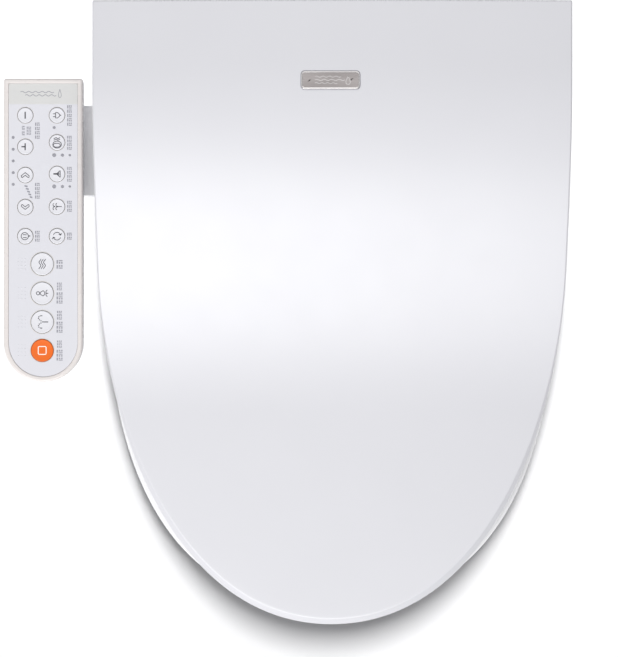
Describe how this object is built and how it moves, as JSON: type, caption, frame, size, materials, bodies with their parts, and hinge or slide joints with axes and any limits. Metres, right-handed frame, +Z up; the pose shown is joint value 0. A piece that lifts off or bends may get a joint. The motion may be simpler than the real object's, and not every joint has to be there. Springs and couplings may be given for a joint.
{
  "type": "electric bidet seat",
  "caption": "Electric bidet seat with a full-cover hinged lid, heated seat ring, rear housing with wash nozzles and warm-air dryer, and a side control panel",
  "frame": {"origin": "midpoint between the two mounting slots, on the plane of the bowl's rim, where the part rests", "axes": "+X towards the side away from the control panel, +Y towards the rear (the cistern), +Z up"},
  "size_m": [0.469, 0.52, 0.1453],
  "materials": {
    "lid_white": "glossy white moulded plastic",
    "seat_white": "glossy white moulded plastic",
    "badge_metal": "fine brushed, warm grey",
    "bumper_rubber": "soft pale grey rubber",
    "heater_foil": "foil with etched heating tracks",
    "pin_steel": "turned steel",
    "inner_plastic": "plain natural moulded plastic",
    "damper_black": "black glass-filled plastic",
    "case_white": "semi-gloss white moulded plastic",
    "screw_steel": "zinc-plated steel",
    "inlet_brass": "machined brass",
    "hose_clear": "milky silicone hose",
    "nozzle_white": "polished moulded plastic",
    "gear_plastic": "natural acetal",
    "motor_steel": "plated motor can",
    "board_green": "circuit board with components",
    "cable_grey": "insulated lead",
    "bezel_cream": "cream moulded plastic",
    "face_lavender": "glossy printed overlay",
    "led_lens": "small clear lamp",
    "key_white": "glossy key cap",
    "key_orange": "glossy orange key cap"
  },
  "bodies": {
    "base": {"base_tray": "case_white", "rear_cover": "case_white", "base_pads": "bumper_rubber", "case_screws": "screw_steel", "seat_damper": "damper_black", "lid_damper": "damper_black", "inlet_connector": "inlet_brass", "inlet_valve": "inner_plastic", "water_tank": "inner_plastic", "tank_heater": "pin_steel", "selector_valve": "inner_plastic", "inlet_hose": "hose_clear", "tank_hose": "hose_clear", "nozzle_guide": "inner_plastic", "wash_motor": "motor_steel", "bidet_motor": "motor_steel", "blower_housing": "inner_plastic", "blower_motor": "motor_steel", "dryer_duct": "inner_plastic", "dryer_heater": "heater_foil", "main_board": "board_green", "cord_gland": "damper_black", "panel_cable": "cable_grey", "panel_arm": "case_white", "panel_case": "case_white", "panel_bezel": "bezel_cream", "panel_face": "face_lavender", "panel_board": "board_green", "panel_leds": "led_lens"},
    "seat": {"seat_upper_shell": "seat_white", "seat_lower_shell": "seat_white", "seat_heater": "heater_foil", "seat_bumpers": "bumper_rubber", "seat_hinge_pin": "pin_steel"},
    "lid": {"lid_shell": "lid_white", "lid_badge": "badge_metal", "lid_bumpers": "bumper_rubber", "lid_hinge_pin": "pin_steel"},
    "bracket": {"mounting_bracket": "pin_steel"},
    "release_button": {"release_button": "case_white"},
    "wash_nozzle": {"wash_nozzle": "nozzle_white"},
    "bidet_nozzle": {"bidet_nozzle": "nozzle_white"},
    "wash_pinion": {"wash_pinion": "gear_plastic"},
    "bidet_pinion": {"bidet_pinion": "gear_plastic"},
    "blower_wheel": {"blower_wheel": "inner_plastic"},
    "dryer_flap": {"dryer_flap": "case_white"},
    "key_minus": {"key_minus": "key_white"},
    "key_plus": {"key_plus": "key_white"},
    "key_nozzle_back": {"key_nozzle_back": "key_white"},
    "key_nozzle_forward": {"key_nozzle_forward": "key_white"},
    "key_child": {"key_child": "key_white"},
    "key_energy": {"key_energy": "key_white"},
    "key_seat_temp": {"key_seat_temp": "key_white"},
    "key_water_temp": {"key_water_temp": "key_white"},
    "key_massage": {"key_massage": "key_white"},
    "key_move": {"key_move": "key_white"},
    "key_dry": {"key_dry": "key_white"},
    "key_bidet": {"key_bidet": "key_white"},
    "key_wash": {"key_wash": "key_white"},
    "key_stop": {"key_stop": "key_orange"}
  },
  "joints": [
    {"name": "seat_hinge", "type": "hinge", "parent": "base", "child": "seat", "pos_m": [0, 0.046, 0.118], "axis": [1, 0, 0], "range_deg": [-100, 0]},
    {"name": "lid_hinge", "type": "hinge", "parent": "seat", "child": "lid", "pos_m": [0, 0.046, 0.118], "axis": [-1, 0, 0], "range_deg": [0, 105]},
    {"name": "wash_nozzle_slide", "type": "slide", "parent": "base", "child": "wash_nozzle", "axis": [0, -0.866, -0.5], "range_m": [0, 0.06]},
    {"name": "bidet_nozzle_slide", "type": "slide", "parent": "base", "child": "bidet_nozzle", "axis": [0, -0.866, -0.5], "range_m": [0, 0.06]},
    {"name": "wash_pinion_spin", "type": "hinge", "parent": "base", "child": "wash_pinion", "pos_m": [-0.0095, -0.02691, 0.04769], "axis": [-1, 0, 0], "range_deg": [0, 574]},
    {"name": "bidet_pinion_spin", "type": "hinge", "parent": "base", "child": "bidet_pinion", "pos_m": [0.0095, -0.02691, 0.04769], "axis": [-1, 0, 0], "range_deg": [0, 574]},
    {"name": "dryer_flap_hinge", "type": "hinge", "parent": "base", "child": "dryer_flap", "pos_m": [-0.098, -0.059, 0.0154], "axis": [-1, 0, 0], "range_deg": [0, 60]},
    {"name": "blower_spin", "type": "hinge", "parent": "base", "child": "blower_wheel", "pos_m": [-0.12, 0.01, 0.04], "axis": [0, 0, 1], "continuous": true},
    {"name": "bracket_slide", "type": "slide", "parent": "base", "child": "bracket", "axis": [0, 1, 0], "range_m": [0, 0.045]},
    {"name": "release_button_slide", "type": "slide", "parent": "base", "child": "release_button", "axis": [-1, 0, 0], "range_m": [0, 0.003], "stiffness_N_per_m": 300},
    {"name": "key_minus_press", "type": "slide", "parent": "base", "child": "key_minus", "axis": [0, 0, -1], "range_m": [0, 0.0008], "stiffness_N_per_m": 400},
    {"name": "key_plus_press", "type": "slide", "parent": "base", "child": "key_plus", "axis": [0, 0, -1], "range_m": [0, 0.0008], "stiffness_N_per_m": 400},
    {"name": "key_nozzle_back_press", "type": "slide", "parent": "base", "child": "key_nozzle_back", "axis": [0, 0, -1], "range_m": [0, 0.0008], "stiffness_N_per_m": 400},
    {"name": "key_nozzle_forward_press", "type": "slide", "parent": "base", "child": "key_nozzle_forward", "axis": [0, 0, -1], "range_m": [0, 0.0008], "stiffness_N_per_m": 400},
    {"name": "key_child_press", "type": "slide", "parent": "base", "child": "key_child", "axis": [0, 0, -1], "range_m": [0, 0.0008], "stiffness_N_per_m": 400},
    {"name": "key_energy_press", "type": "slide", "parent": "base", "child": "key_energy", "axis": [0, 0, -1], "range_m": [0, 0.0008], "stiffness_N_per_m": 400},
    {"name": "key_seat_temp_press", "type": "slide", "parent": "base", "child": "key_seat_temp", "axis": [0, 0, -1], "range_m": [0, 0.0008], "stiffness_N_per_m": 400},
    {"name": "key_water_temp_press", "type": "slide", "parent": "base", "child": "key_water_temp", "axis": [0, 0, -1], "range_m": [0, 0.0008], "stiffness_N_per_m": 400},
    {"name": "key_massage_press", "type": "slide", "parent": "base", "child": "key_massage", "axis": [0, 0, -1], "range_m": [0, 0.0008], "stiffness_N_per_m": 400},
    {"name": "key_move_press", "type": "slide", "parent": "base", "child": "key_move", "axis": [0, 0, -1], "range_m": [0, 0.0008], "stiffness_N_per_m": 400},
    {"name": "key_dry_press", "type": "slide", "parent": "base", "child": "key_dry", "axis": [0, 0, -1], "range_m": [0, 0.0008], "stiffness_N_per_m": 400},
    {"name": "key_bidet_press", "type": "slide", "parent": "base", "child": "key_bidet", "axis": [0, 0, -1], "range_m": [0, 0.0008], "stiffness_N_per_m": 400},
    {"name": "key_wash_press", "type": "slide", "parent": "base", "child": "key_wash", "axis": [0, 0, -1], "range_m": [0, 0.0008], "stiffness_N_per_m": 400},
    {"name": "key_stop_press", "type": "slide", "parent": "base", "child": "key_stop", "axis": [0, 0, -1], "range_m": [0, 0.0008], "stiffness_N_per_m": 400}
  ],
  "couplings": [
    {"joint": "wash_pinion_spin", "follows": "wash_nozzle_slide", "rad_per_m": 166.67},
    {"joint": "bidet_pinion_spin", "follows": "bidet_nozzle_slide", "rad_per_m": 166.67}
  ]
}
